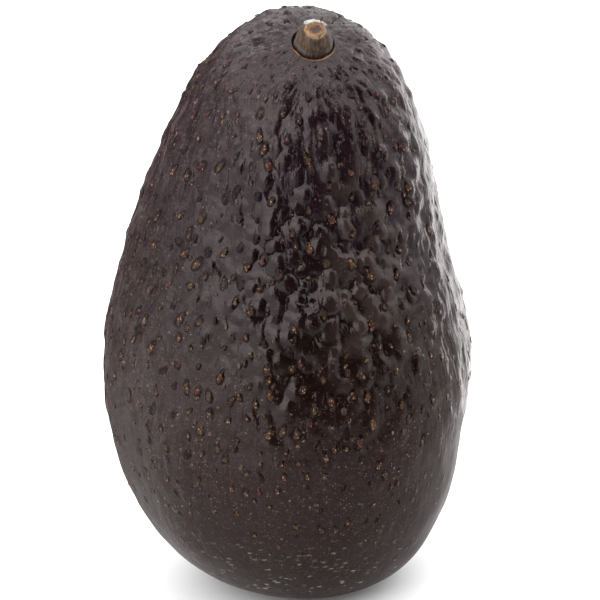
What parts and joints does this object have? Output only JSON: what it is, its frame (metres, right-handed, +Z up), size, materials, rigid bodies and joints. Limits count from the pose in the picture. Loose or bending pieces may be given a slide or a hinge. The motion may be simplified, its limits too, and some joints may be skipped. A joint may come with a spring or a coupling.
{
  "type": "avocado",
  "caption": "Whole ripe avocado, pear-shaped with dark pebbled skin and a woody stem stub, standing on its rounded end.",
  "frame": {"origin": "on the surface the fruit stands on, under the middle of its outline seen from above", "axes": "+Z up, from the blossom end to the stem end; -Y the front, to which the neck and the stem stub lean; +X the fruit's right side as the picture shows it"},
  "size_m": [0.0646, 0.0622, 0.1064],
  "materials": {
    "skin": "satin",
    "stalk_bark": "matte"
  },
  "bodies": {
    "root": {"fruit": "skin", "stem_stub": "stalk_bark"}
  },
  "joints": []
}
